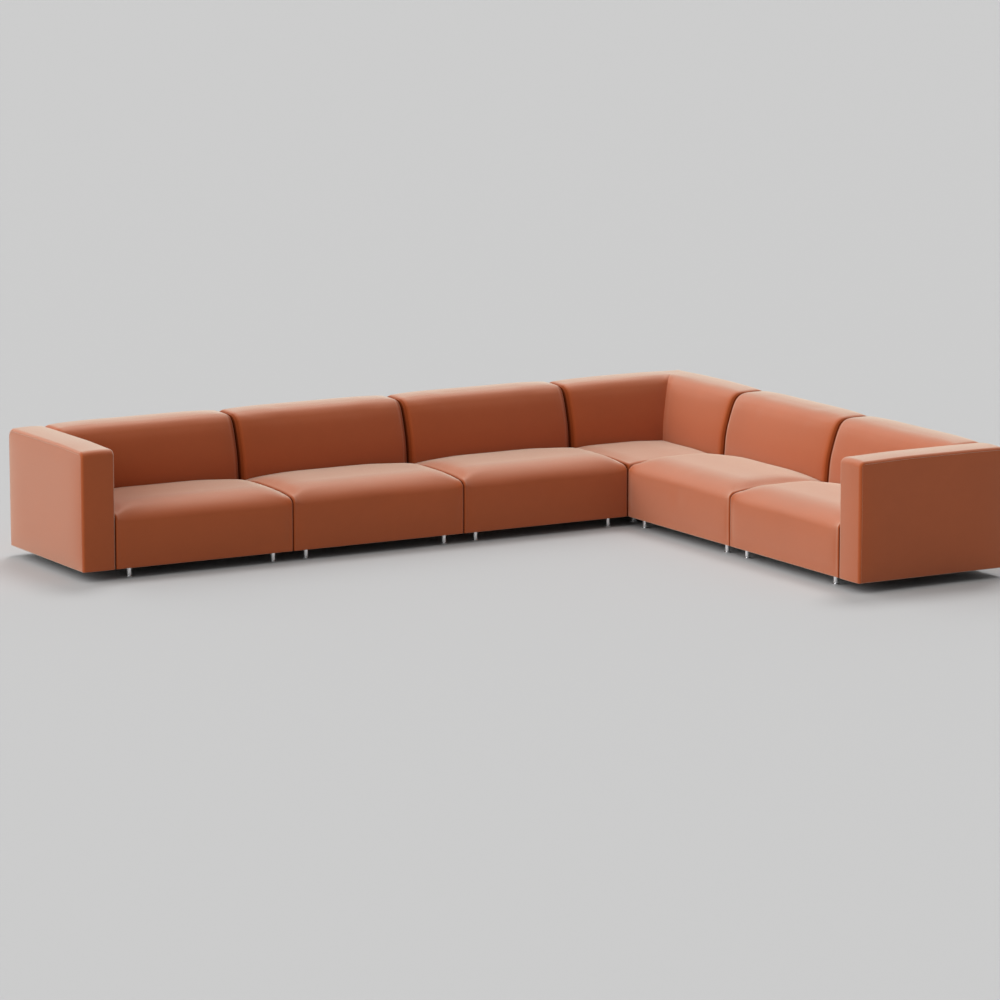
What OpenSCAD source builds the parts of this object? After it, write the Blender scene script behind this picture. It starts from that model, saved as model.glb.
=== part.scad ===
// Modular corner sofa: three straight seat modules and a corner module on the long wing,
// two straight seat modules on the short wing, and an arm at each end.
// Origin: middle of the floor rectangle that the sofa covers. +X runs along the long wing,
// +Y to its rear, +Z up. Millimetres.

/* [Modules] */
// Width of one straight seat module
module_w = 1050; // [900:10:1200]
// Depth of every module, front to rear
module_d = 930; // [880:10:1000]
// Width of one arm
arm_w = 190; // [160:5:240]
// Gap left at each side of a module, so two neighbours stand twice this apart
side_gap = 1; // [0.5:0.5:3]

/* [Heights] */
// Height of the upholstery's underside above the floor
under_z = 58; // [56:1:80]
// Height of the seat at the middle of its crown
seat_z = 396; // [376:1:420]
// Height of the back at the middle of its crown
back_z = 715; // [700:1:760]
// Height of the arm
arm_z = 700; // [690:1:750]

/* [Upholstery] */
// Thickness of the leather
leather_t = 1.5; // [1:0.1:2.5]
// Rise of the seat's crown over its side seams
seat_crown = 28; // [6:1:30]
// Rise of the back's crown over its side seams
back_crown = 12; // [4:1:14]
// Distance over which the seat's front top edge rounds off
seat_front_run = 150; // [60:5:180]
// Height over which it rounds off
seat_front_drop = 84; // [40:2:100]
// Rounding along the back's front top edge
back_front_r = 70; // [50:1:76]
// Rounding along the back's rear top edge
back_rear_r = 62; // [26:1:72]
// Distance from the front plane to the foot of the back's front face
back_v = 606; // [600:1:630]
// Radius of the long curve that leans the back's front face
back_lean_r = 768; // [700:10:900]

/* [Frame] */
// Thickness of the frame rails
rail_t = 20; // [18:1:24]
// Height of the top of the seat frame
rail_z = 205; // [190:1:215]
// Thickness of the foot boards
board_t = 22; // [18:1:24]

/* [Feet] */
// Diameter of a foot's barrel
foot_d = 26; // [22:1:32]
// Diameter of a foot's base
base_d = 34; // [28:1:40]
// Distance from a foot's axis to the module's side
foot_side = 99; // [80:1:120]
// Distance from a foot's axis to the module's front or rear
foot_front = 52; // [48:1:70]

/* [Hidden] */

W = module_w;
D = module_d;
// Overall size on the floor, and where the two wings' front planes lie
total_x = arm_w + 3*W + D;
total_y = D + 2*W + arm_w;
x_first = -total_x/2 + arm_w;   // left side of the first module
y_front = total_y/2 - D;        // front plane of the long wing
x_corner = x_first + 3*W;       // left side of the corner module, and front plane of the short wing

leather = "#b8704f";
chrome = "#d8d8d6";
zinc = "#a9adb0";
timber = "#d2b48a";
foam = "#efe6c8";
strap = "#4a4a4c";
cloth = "#1e1e1f";

seat_v1 = back_v - 4;           // rear of the seat block
frame_in = 16;                  // frame's outer faces, inside the module's outline
foam_cut = 15;                  // inner faces of the foam wraps
arm_r = 34;                     // round front top edge of the arms
arm_rear_r = 50;                // and their rear top edge
arm_edge_r = 15;                // round long edges of the arms
corner_z = seat_z - 24;         // height of the corner's seat, which is nearly flat
outer_r = 44;                   // round outer corner of the corner's back
back_end_r = 34;                // round shoulders of the backs, beside each seam
frame_z0 = under_z + 2;         // underside of the frames
lip = 18;                       // leather turned under the frame
foam_t = leather_t + 0.3;       // foam stands this far inside the leather's outer face
strap_t = 2;
foam_z0 = rail_z + 5;           // underside of the seat foam
link_v = 330;                   // distance of the link plates from the front plane
link_u = 26;                    // link bolts' distance from the module's side
link_r = 2*link_u;              // distance between a plate's two bolts
bolt_v = [150, 500, 780];       // arm bolts, from the front plane
bolt_z = 130;                   // arm bolts' height
eps = 0.01;

// ---------- placing ----------
module at_long(k) { translate([x_first + k*W, y_front, 0]) children(); }
module at_corner() { translate([x_corner, y_front, 0]) children(); }
module at_short(k) { translate([x_corner, y_front, 0]) rotate([0, 0, -90]) translate([k*W, 0, 0]) children(); }

// ---------- drawing helpers ----------
function arc(c, r, a0, a1, n) = [for (i = [0:n]) let (a = a0 + (a1 - a0)*i/n) [c[0] + r*cos(a), c[1] + r*sin(a)]];
// A (depth, height) outline drawn out along the width, and a (width, height) outline along the depth
module along_u(len) { rotate([90, 0, 90]) linear_extrude(height = len) children(); }
module along_v(len) { translate([0, len, 0]) rotate([90, 0, 0]) linear_extrude(height = len) children(); }
module box(a, b) { translate(a) cube(b - a); }

// Outline across the width with a crowned top and round shoulders; t sets it inside the leather
function crown_line(u0, u1, z0, ztop, rise, r, t) =
    let (a = u0 + r, b = u1 - r, m = (u0 + u1)/2, h = (b - a)/2)
    concat([[u0 + t, z0]],
           arc([a, ztop - rise - r], r - t, 180, 100, 4),
           [for (i = [0:12]) let (s = -1 + 2*i/12) [m + s*(h - 1), ztop - t - rise*pow(s, 4)]],
           arc([b, ztop - rise - r], r - t, 80, 0, 4),
           [[u1 - t, z0]]);

// Plan with rounded corners: radius rf at the front two and rb at the rear two
function plan_line(u0, u1, v0, v1, rf, rb, t) =
    concat(arc([u0 + rf, v0 + rf], rf - t, 180, 270, 4),
           arc([u1 - rf, v0 + rf], rf - t, 270, 360, 4),
           arc([u1 - rb, v1 - rb], rb - t, 0, 90, 4),
           arc([u0 + rb, v1 - rb], rb - t, 90, 180, 4));

// ---------- seat block ----------
// Side outline: upright front, a long round front top edge, a top that is highest at mid-depth
function seat_side(v0, a, h, t) =
    let (zr = seat_z - 15, zf = seat_z - 3)
    concat([[v0 + t, under_z + t]],
           [for (i = [0:8]) let (x = 90*i/8) [v0 + t + (a - t)*(1 - cos(x)), zf - h + (h - t)*sin(x)]],
           [[seat_v1/2, seat_z - t], [seat_v1*3/4, seat_z - 4 - t]],
           arc([seat_v1 - 14, zr - 14], 14 - t, 90, 0, 3),
           [[seat_v1 - t, under_z + t]]);

module seat_block(t) {
    intersection() {
        translate([side_gap, 0, 0]) along_u(W - 2*side_gap) polygon(seat_side(1, seat_front_run, seat_front_drop, t));
        along_v(D) polygon(crown_line(side_gap, W - side_gap, 0, seat_z, seat_crown, 20, t));
        linear_extrude(height = 600) polygon(plan_line(side_gap, W - side_gap, 1, D, 12, 12, t));
    }
}

// The corner's seat meets a neighbour on two sides and a back on the other two
module corner_seat_block(t) {
    intersection() {
        translate([side_gap, 0, 0]) along_u(seat_v1 - side_gap) polygon(crown_line(side_gap, seat_v1, under_z + t, corner_z, 5, 18, t));
        along_v(seat_v1) polygon(crown_line(side_gap, seat_v1, under_z + t, corner_z, 5, 18, t));
    }
}

// ---------- back block ----------
function lean_angle() = asin((back_z - 7 - 350 - back_front_r)/(back_lean_r - back_front_r));
// Side outline: upright foot, long leaning curve, rounded top, upright rear
function back_side(t) =
    let (R = back_lean_r, r = back_front_r, p = lean_angle(), zt = back_z - 7, rr = back_rear_r,
         c = [back_v + R, 350], cs = [back_v + R - (R - r)*cos(p), 350 + (R - r)*sin(p)])
    concat([[back_v + t, under_z + t]],
           arc(c, R - t, 180, 180 - p, 6),
           arc(cs, r - t, 180 - p - 10, 90, 5),
           arc([D - rr, zt - rr - 2], rr - t, 90, 0, 5),
           [[D - t, under_z + t]]);

module back_block(u0, u1, t) {
    intersection() {
        translate([u0, 0, 0]) along_u(u1 - u0) translate([0, 7]) polygon([for (p = back_side(t)) [p[0], p[1] < 100 ? p[1] - 7 : p[1]]]);
        along_v(D + 10) polygon(crown_line(u0, u1, 0, back_z, back_crown, back_end_r, t));
    }
}

// One half of the corner's back, cut at 45 degrees where it meets the other half
module corner_back_block(t) {
    m = 0.4 + (t > 0 ? t*sqrt(2) : 0);
    q = D - outer_r + (outer_r - t)*cos(45);
    intersection() {
        translate([side_gap, 0, 0]) along_u(D - side_gap) translate([0, 4]) polygon([for (p = back_side(t)) [p[0], p[1] < 100 ? p[1] - 4 : p[1]]]);
        along_v(D + 10) polygon(concat([[side_gap + t, 0]], arc([side_gap + back_end_r, back_z - 5 - back_end_r], back_end_r - t, 180, 90, 4), [[D + 5, back_z - 1 - t], [D + 5, 0]]));
        linear_extrude(height = 900) polygon(concat([[side_gap + t, back_v - 10], [back_v - 10 - m, back_v - 10], [q - m, q]], arc([D - outer_r, D - outer_r], outer_r - t, 52, 90, 4), [[side_gap + t, D - t]]));
    }
}

// ---------- arm block ----------
module arm_block(t) {
    intersection() {
        translate([-arm_w, 0, 0]) along_u(arm_w - side_gap) polygon(concat([[t, under_z + t]], arc([arm_r, arm_z - arm_r - 6], arm_r - t, 180, 90, 5), [[D/3, arm_z - 1 - t], [D*2/3, arm_z - t]], arc([D - arm_rear_r, arm_z - arm_rear_r - 2], arm_rear_r - t, 90, 0, 6), [[D - t, under_z + t]]));
        along_v(D) polygon(crown_line(-arm_w, -side_gap, 0, arm_z, 5, arm_edge_r, t));
        linear_extrude(height = 900) polygon(plan_line(-arm_w, -side_gap, 0, D, arm_edge_r, arm_edge_r, t));
    }
}

// Holes along the width for the bolts that hold an arm
module arm_bolt_holes(r) { for (v = bolt_v) translate([-62, v, bolt_z]) rotate([0, 90, 0]) cylinder(h = 124, r = r, $fn = 32); }
// side is 0 for no arm, -1 for an arm at u = 0, 1 for an arm at u = W
module arm_holes(side, r) {
    if (side < 0) arm_bolt_holes(r);
    if (side > 0) translate([W, 0, 0]) arm_bolt_holes(r);
}

// ---------- leather covers ----------
module seat_cover(side) {
    difference() {
        seat_block(0);
        seat_block(leather_t);
        box([side_gap + lip, lip + 1, 0], [W - side_gap - lip, D, under_z + 10]);
        box([foam_cut, foam_cut, 0], [W - foam_cut, D, rail_z + 3]);
        arm_holes(side, 4.6);
    }
}
module corner_seat_cover() {
    difference() {
        corner_seat_block(0);
        corner_seat_block(leather_t);
        box([side_gap + lip, side_gap + lip, 0], [D, D, under_z + 10]);
        box([foam_cut, foam_cut, 0], [D, D, foam_z0]);
    }
}
module back_cover(side) {
    difference() {
        back_block(side_gap, W - side_gap, 0);
        back_block(side_gap, W - side_gap, leather_t);
        box([side_gap + lip, 0, 0], [W - side_gap - lip, D - lip, under_z + 10]);
        box([foam_cut, 0, 0], [W - foam_cut, D - foam_cut, rail_z + 3]);
        arm_holes(side, 4.6);
    }
}
module corner_back_cover() {
    difference() {
        corner_back_block(0);
        corner_back_block(leather_t);
        box([side_gap + lip, 0, 0], [D - lip, D - lip, under_z + 10]);
        box([foam_cut, 0, 0], [D - foam_cut, D - foam_cut, rail_z + 3]);
        // opening in the 45 degree wall, for the corner post and the rails that meet on it
        box([back_v + 140, back_v + 140, 0], [D - foam_cut, D - foam_cut, back_z - 50]);
    }
}
module arm_cover() {
    difference() {
        arm_block(0);
        arm_block(leather_t);
        box([-arm_w + lip, lip, 0], [-side_gap - lip, D - lip, under_z + 10]);
        arm_bolt_holes(4.6);
    }
}
// The short wing's arm stands at the far side of the last module
module at_right_arm() { at_short(1) translate([W, 0, 0]) mirror([1, 0, 0]) children(); }

// ---------- foam ----------
module seat_foam(side) {
    difference() {
        seat_block(foam_t);
        box([foam_cut, foam_cut, 0], [W - foam_cut, D, foam_z0]);
        arm_holes(side, 4.6);
    }
}
module corner_seat_foam() {
    difference() {
        corner_seat_block(foam_t);
        box([foam_cut, foam_cut, 0], [D, D, foam_z0]);
    }
}
// Room for the back frame inside the foam: it leans with the back's front face
function back_core() = [[back_v + 88, rail_z - 5], [back_v + 88, rail_z + 22], [back_v + 138, back_z - 50], [D - foam_cut + 0.5, back_z - 50], [D - foam_cut + 0.5, rail_z - 5]];
module back_room(u0, u1) {
    translate([u0, 0, 0]) along_u(u1 - u0) polygon(back_core());
    box([u0, 0, 0], [u1, D - foam_cut + 0.5, rail_z + 1]);
}
module back_foam(side) {
    difference() {
        back_block(side_gap, W - side_gap, foam_t);
        back_room(foam_cut, W - foam_cut);
        arm_holes(side, 4.6);
    }
}
module corner_back_foam() {
    difference() {
        corner_back_block(foam_t);
        back_room(foam_cut, D - foam_cut + 0.5);
    }
}
module arm_foam() {
    difference() {
        arm_block(foam_t);
        box([-arm_w + foam_cut, foam_cut, 0], [-foam_cut, D - foam_cut, arm_z - 36]);
        arm_bolt_holes(4.6);
    }
}

// ---------- timber frames ----------
// Where a module's feet stand: w is its width, s its front inset and q its side inset
function foot_points(w, q, s) = [[q, s], [w - q, s], [q, D - s], [w - q, D - s]];
module foot_boards(w) {
    for (u = [0, 1], v = [0, 1])
        translate([u*w, v*D, 0]) mirror([u, 0, 0]) mirror([0, v, 0]) box([frame_in, frame_in, frame_z0], [146, 146, frame_z0 + board_t]);
}
module ring(w) {
    difference() {
        box([frame_in, frame_in, frame_z0], [w - frame_in, D - frame_in, rail_z]);
        box([frame_in + rail_t, frame_in + rail_t, 0], [w - frame_in - rail_t, D - frame_in - rail_t, rail_z + 10]);
    }
}
module foot_bores(w, q, s) { for (p = foot_points(w, q, s)) translate([p[0], p[1], frame_z0 - 1]) cylinder(h = board_t + 2, r = 6.05, $fn = 48); }
module link_bore(u, v) { translate([u, v, frame_z0 - 1]) cylinder(h = 38, r = 4.05, $fn = 48); }
// Blind holes for the bolts that hold the back frame, in from the frame's inner face
module back_bolt_bores(w) {
    for (z = [115, 175]) {
        translate([frame_in + 1, D - 85, z]) rotate([0, 90, 0]) cylinder(h = rail_t + 30, r = 4.05, $fn = 48);
        translate([w - frame_in - 1, D - 85, z]) rotate([0, -90, 0]) cylinder(h = rail_t + 30, r = 4.05, $fn = 48);
    }
}
module frame_arm_bores(side) {
    x = side < 0 ? 0 : W;
    if (side != 0) for (v = bolt_v) translate([x - 62, v, bolt_z]) rotate([0, 90, 0]) cylinder(h = 124, r = 4.05, $fn = 48);
}
module seat_frame(side) {
    difference() {
        union() {
            ring(W);
            box([frame_in + eps, seat_v1 - 10, frame_z0], [W - frame_in - eps, seat_v1 + 10, rail_z]);
            foot_boards(W);
        }
        foot_bores(W, foot_side, foot_front);
        link_bore(link_u, link_v);
        link_bore(W - link_u, link_v);
        back_bolt_bores(W);
        frame_arm_bores(side);
    }
}
module corner_seat_frame() {
    difference() {
        union() {
            ring(D);
            box([frame_in + eps, seat_v1 - 10, frame_z0], [seat_v1 + 10, seat_v1 + 10, rail_z]);
            box([seat_v1 - 10, frame_in + eps, frame_z0], [seat_v1 + 10, seat_v1 + 10, rail_z]);
            foot_boards(D);
        }
        foot_bores(D, foot_side, foot_side);
        link_bore(link_u, link_v);
        link_bore(link_v, link_u);
        back_bolt_bores(D);
        translate([0, 0, 0]) mirror([1, -1, 0]) back_bolt_bores(D);
    }
}
// One upright: a leg that reaches down inside the seat frame and a leaning upper part
module upright(u, leg) {
    translate([u, 0, 0]) along_u(22) polygon([[D - 130, leg], [D - 37, leg], [D - 37, rail_z + 1], [D - 25, rail_z + 1], [D - 25, back_z - 75], [back_v + 144, back_z - 75], [back_v + 94, rail_z + 24], [back_v + 94, rail_z + 1], [D - 130, rail_z + 1]]);
}
module back_rails(u0, u1) {
    box([u0, back_v + 144, back_z - 75 - eps], [u1, D - 25, back_z - 53]);
    box([u0, back_v + 94, rail_z + 1], [u1, back_v + 116, rail_z + 24]);
    box([u0, D - 25 - eps, rail_z + 1], [u1, D - 19, back_z - 53]);
}
module back_frame() {
    difference() {
        union() {
            upright(37, frame_z0 + board_t + 1);
            upright(W/2 - 11, rail_z + 1);
            upright(W - 59, frame_z0 + board_t + 1);
            back_rails(17, W - 17);
        }
        back_bolt_bores(W);
    }
}
// The corner's two back frames: the first also carries the post in the corner
module corner_back_frame(post) {
    difference() {
        union() {
            upright(37, frame_z0 + board_t + 1);
            upright(360, rail_z + 1);
            upright(back_v + 70, rail_z + 1);
            back_rails(17, back_v + 92);
            if (post) {
                box([D - 130, D - 130, frame_z0 + 38], [D - 37, D - 37, back_z - 75]);
                box([back_v + 92 - eps, back_v + 144, back_z - 75 - eps], [D - 25, D - 25, back_z - 53]);
                box([back_v + 92 - eps, D - 31, rail_z + 1], [D - 25, D - 25, back_z - 75]);
            }
        }
        back_bolt_bores(D);
        // pockets in the post for the bolts' heads
        if (post) for (z = [115, 175]) {
            translate([D - 66, D - 85, z]) rotate([0, 90, 0]) cylinder(h = 30, r = 9, $fn = 48);
            translate([D - 131, D - 85, z]) rotate([0, 90, 0]) cylinder(h = 66, r = 9, $fn = 48);
        }
    }
}
module arm_frame() {
    difference() {
        box([-arm_w + frame_in, frame_in, frame_z0], [-frame_in, D - frame_in, arm_z - 38]);
        box([-arm_w + frame_in + 18, frame_in + 22, frame_z0 + 22], [-frame_in - 18, D/2 - 10, arm_z - 60]);
        box([-arm_w + frame_in + 18, D/2 + 10, frame_z0 + 22], [-frame_in - 18, D - frame_in - 22, arm_z - 60]);
        // openings in the bottom board, to reach the bolts
        for (v = bolt_v) box([-arm_w + 60, v - 40, 0], [-60, v + 40, frame_z0 + 30]);
        for (v = bolt_v) translate([-60, v, bolt_z]) rotate([0, 90, 0]) cylinder(h = 62, r = 4.05, $fn = 48);
    }
}

// ---------- webbing ----------
module straps(w, n, wide) {
    pitch = (w - 2*frame_in - wide)/(n - 1);
    for (i = [0:n-1]) translate([frame_in + i*pitch, frame_in, rail_z + 0.2]) cube([wide, seat_v1 + 3 - frame_in, strap_t]);
}
module cross_straps(u1, n, wide) {
    pitch = (seat_v1 - frame_in - wide)/n;
    for (i = [0:n-1]) translate([frame_in, frame_in + 40 + i*pitch, rail_z + 0.4 + strap_t]) cube([u1 - frame_in, wide, strap_t]);
}
// Straps across the leaning front edges of the uprights
module back_straps(u0, u1) {
    rise = back_z - 75 - (rail_z + 24);
    lean = atan(50/rise);
    for (i = [0:3]) translate([u0, back_v + 94, rail_z + 24]) rotate([-lean, 0, 0]) translate([0, -strap_t - 0.4, 24 + i*100]) cube([u1 - u0, strap_t, 60]);
}

// ---------- dust cover ----------
module dust_cover(w, q, s, corner) {
    difference() {
        box([8, 12, under_z - 1], [w - 8, D - 8, under_z]);
        for (p = foot_points(w, q, s)) translate([p[0], p[1], under_z - 2]) cylinder(h = 4, r = foot_d/2 + 2, $fn = 48);
        translate([link_u, link_v, under_z - 2]) cylinder(h = 4, r = 6, $fn = 48);
        if (corner) translate([link_v, link_u, under_z - 2]) cylinder(h = 4, r = 6, $fn = 48);
        else translate([w - link_u, link_v, under_z - 2]) cylinder(h = 4, r = 6, $fn = 48);
    }
}

// ---------- feet ----------
module foot() {
    r = foot_d/2;
    b = base_d/2;
    top = frame_z0 - 0.3;
    rotate_extrude($fn = 96)
        polygon([[0, 0], [b - 1, 0], [b, 1], [b, 5], [b - 1, 6], [r - 3, 6], [r - 3, 9], [r - 1, 9], [r, 10],
                 [r, top - 1], [r - 1, top], [5, top], [5, top + 34], [4, top + 35], [0, top + 35]]);
}
module foot_at(w, q, s, i) { translate([foot_points(w, q, s)[i][0], foot_points(w, q, s)[i][1], 0]) foot(); }
module straight_foot(i) { foot_at(W, foot_side, foot_front, i); }
module corner_foot(i) { foot_at(D, foot_side, foot_side, i); }
// A flanged steel insert in a foot board
module insert() {
    z1 = frame_z0 + board_t;
    difference() {
        union() {
            translate([0, 0, frame_z0 + 4]) cylinder(h = board_t - 4 + eps, r = 6, $fn = 48);
            translate([0, 0, z1]) cylinder(h = 2, r = 9.5, $fn = 48);
        }
        translate([0, 0, 0]) cylinder(h = 200, r = 5.05, $fn = 96);
    }
}
module inserts(w, q, s) { for (p = foot_points(w, q, s)) translate([p[0], p[1], 0]) insert(); }

// ---------- link plates ----------
link_z = under_z - 7.7;  // underside of a plate
// The plate turns on the bolt at the origin; its curved slot takes the neighbour's bolt at u = link_r,
// and is open at the side that the plate leaves the bolt by
function plate_line(ro) = concat(arc([0, 0], 17, 90, 270, 14), arc([0, 0], ro, -24, 20, 12));
function slot_line(c) = concat(arc([0, 0], link_r + c, 0, -50, 24), arc([0, 0], link_r - c, -50, 0, 24), [for (p = arc([link_r, 0], c, 168, 12, 14)) p]);
module link_plate() {
    translate([0, 0, link_z]) difference() {
        linear_extrude(height = 4) difference() {
            polygon(plate_line(link_r + 14));
            polygon(slot_line(5.1));
        }
        translate([0, 0, -1]) cylinder(h = 6, r = 5.05, $fn = 96);
    }
}
module link_at() { translate([-link_u, link_v, 0]) link_plate(); }
// Shoulder bolt from below: head, shoulder through the plate, thread in the rail
module link_bolt() {
    difference() {
        union() {
            translate([0, 0, link_z - 5.7]) cylinder(h = 5.4, r = 8, $fn = 48);
            translate([0, 0, link_z - 0.3 - eps]) cylinder(h = frame_z0 - link_z + 0.3 + eps, r = 5, $fn = 96);
            translate([0, 0, frame_z0 - eps]) cylinder(h = 35, r = 4, $fn = 48);
        }
        translate([0, 0, link_z - 6]) cylinder(h = 3.5, r = 3.5, $fn = 6);
    }
}
module link_pair() { for (u = [-link_u, link_u]) translate([u, link_v, 0]) link_bolt(); }

// ---------- frame bolts ----------
// Bolt along the width: head at the origin side, shank towards -u
module side_bolt(len) {
    rotate([0, -90, 0]) cylinder(h = len, r = 4, $fn = 48);
    difference() {
        translate([-eps, 0, 0]) rotate([0, 90, 0]) cylinder(h = 5, r = 7, $fn = 48);
        translate([2, 0, 0]) rotate([0, 90, 0]) cylinder(h = 5, r = 3, $fn = 6);
    }
}
module back_bolts(w) {
    for (z = [115, 175]) {
        translate([59.2, D - 85, z]) side_bolt(40);
        translate([w - 59.2, D - 85, z]) mirror([1, 0, 0]) side_bolt(40);
    }
}
module arm_bolts() { for (v = bolt_v) translate([frame_in + rail_t + 0.2, v, bolt_z]) side_bolt(76); }

// ---------- nodes ----------
module seat_cover_l1() { color(leather) at_long(0) seat_cover(-1); }
module seat_cover_l2() { color(leather) at_long(1) seat_cover(0); }
module seat_cover_l3() { color(leather) at_long(2) seat_cover(0); }
module seat_cover_corner() { color(leather) at_corner() corner_seat_cover(); }
module seat_cover_r1() { color(leather) at_short(0) seat_cover(0); }
module seat_cover_r2() { color(leather) at_short(1) seat_cover(1); }
module back_cover_l1() { color(leather) at_long(0) back_cover(-1); }
module back_cover_l2() { color(leather) at_long(1) back_cover(0); }
module back_cover_l3() { color(leather) at_long(2) back_cover(0); }
module back_cover_corner_left() { color(leather) at_corner() corner_back_cover(); }
module back_cover_corner_right() { color(leather) at_corner() mirror([1, -1, 0]) corner_back_cover(); }
module back_cover_r1() { color(leather) at_short(0) back_cover(0); }
module back_cover_r2() { color(leather) at_short(1) back_cover(1); }
module arm_cover_left() { color(leather) at_long(0) arm_cover(); }
module arm_cover_right() { color(leather) at_right_arm() arm_cover(); }
module seat_frame_l1() { color(timber) at_long(0) seat_frame(-1); }
module seat_frame_l2() { color(timber) at_long(1) seat_frame(0); }
module seat_frame_l3() { color(timber) at_long(2) seat_frame(0); }
module seat_frame_corner() { color(timber) at_corner() corner_seat_frame(); }
module seat_frame_r1() { color(timber) at_short(0) seat_frame(0); }
module seat_frame_r2() { color(timber) at_short(1) seat_frame(1); }
module back_frames() {
    color(timber) {
        for (k = [0:2]) at_long(k) back_frame();
        for (k = [0:1]) at_short(k) back_frame();
        at_corner() corner_back_frame(true);
        at_corner() mirror([1, -1, 0]) corner_back_frame(false);
    }
}
module arm_frames() { color(timber) { at_long(0) arm_frame(); at_right_arm() arm_frame(); } }
module seat_foams() {
    color(foam) {
        for (k = [0:2]) at_long(k) seat_foam(k == 0 ? -1 : 0);
        for (k = [0:1]) at_short(k) seat_foam(k == 1 ? 1 : 0);
        at_corner() corner_seat_foam();
    }
}
module back_foams() {
    color(foam) {
        for (k = [0:2]) at_long(k) back_foam(k == 0 ? -1 : 0);
        for (k = [0:1]) at_short(k) back_foam(k == 1 ? 1 : 0);
        at_corner() corner_back_foam();
        at_corner() mirror([1, -1, 0]) corner_back_foam();
    }
}
module arm_foams() { color(foam) { at_long(0) arm_foam(); at_right_arm() arm_foam(); } }
module webbing_straps() {
    color(strap) {
        for (k = [0:2]) at_long(k) { straps(W, 8, 60); cross_straps(W - frame_in, 4, 60); back_straps(40, W - 40); }
        for (k = [0:1]) at_short(k) { straps(W, 8, 60); cross_straps(W - frame_in, 4, 60); back_straps(40, W - 40); }
        at_corner() { straps(seat_v1 + 3 + frame_in, 5, 60); cross_straps(seat_v1 + 3, 4, 60); back_straps(40, back_v + 88); }
        at_corner() mirror([1, -1, 0]) back_straps(40, back_v + 88);
    }
}
module dust_covers() {
    color(cloth) {
        for (k = [0:2]) at_long(k) dust_cover(W, foot_side, foot_front, false);
        for (k = [0:1]) at_short(k) dust_cover(W, foot_side, foot_front, false);
        at_corner() dust_cover(D, foot_side, foot_side, true);
        at_long(0) box([-arm_w + 8, 8, under_z - 1], [-8, D - 8, under_z]);
        at_right_arm() box([-arm_w + 8, 8, under_z - 1], [-8, D - 8, under_z]);
    }
}
module foot_inserts() {
    color(zinc) {
        for (k = [0:2]) at_long(k) inserts(W, foot_side, foot_front);
        for (k = [0:1]) at_short(k) inserts(W, foot_side, foot_front);
        at_corner() inserts(D, foot_side, foot_side);
    }
}
module link_bolts() {
    color(zinc) {
        for (k = [1:3]) at_long(k) link_pair();
        for (k = [0:1]) at_short(k) link_pair();
    }
}
module frame_bolts() {
    color(zinc) {
        for (k = [0:2]) at_long(k) back_bolts(W);
        for (k = [0:1]) at_short(k) back_bolts(W);
        at_corner() back_bolts(D);
        at_corner() mirror([1, -1, 0]) for (z = [115, 175]) translate([59.2, D - 85, z]) side_bolt(40);
        at_long(0) arm_bolts();
        at_right_arm() arm_bolts();
    }
}
module link_plate_l1_l2() { color(zinc) at_long(1) link_at(); }
module link_plate_l2_l3() { color(zinc) at_long(2) link_at(); }
module link_plate_l3_corner() { color(zinc) at_long(3) link_at(); }
module link_plate_corner_r1() { color(zinc) at_short(0) link_at(); }
module link_plate_r1_r2() { color(zinc) at_short(1) link_at(); }
module foot_l1_front_left() { color(chrome) at_long(0) straight_foot(0); }
module foot_l1_front_right() { color(chrome) at_long(0) straight_foot(1); }
module foot_l1_rear_left() { color(chrome) at_long(0) straight_foot(2); }
module foot_l1_rear_right() { color(chrome) at_long(0) straight_foot(3); }
module foot_l2_front_left() { color(chrome) at_long(1) straight_foot(0); }
module foot_l2_front_right() { color(chrome) at_long(1) straight_foot(1); }
module foot_l2_rear_left() { color(chrome) at_long(1) straight_foot(2); }
module foot_l2_rear_right() { color(chrome) at_long(1) straight_foot(3); }
module foot_l3_front_left() { color(chrome) at_long(2) straight_foot(0); }
module foot_l3_front_right() { color(chrome) at_long(2) straight_foot(1); }
module foot_l3_rear_left() { color(chrome) at_long(2) straight_foot(2); }
module foot_l3_rear_right() { color(chrome) at_long(2) straight_foot(3); }
module foot_corner_front_left() { color(chrome) at_corner() corner_foot(0); }
module foot_corner_front_right() { color(chrome) at_corner() corner_foot(1); }
module foot_corner_rear_left() { color(chrome) at_corner() corner_foot(2); }
module foot_corner_rear_right() { color(chrome) at_corner() corner_foot(3); }
module foot_r1_front_left() { color(chrome) at_short(0) straight_foot(0); }
module foot_r1_front_right() { color(chrome) at_short(0) straight_foot(1); }
module foot_r1_rear_left() { color(chrome) at_short(0) straight_foot(2); }
module foot_r1_rear_right() { color(chrome) at_short(0) straight_foot(3); }
module foot_r2_front_left() { color(chrome) at_short(1) straight_foot(0); }
module foot_r2_front_right() { color(chrome) at_short(1) straight_foot(1); }
module foot_r2_rear_left() { color(chrome) at_short(1) straight_foot(2); }
module foot_r2_rear_right() { color(chrome) at_short(1) straight_foot(3); }

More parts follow.
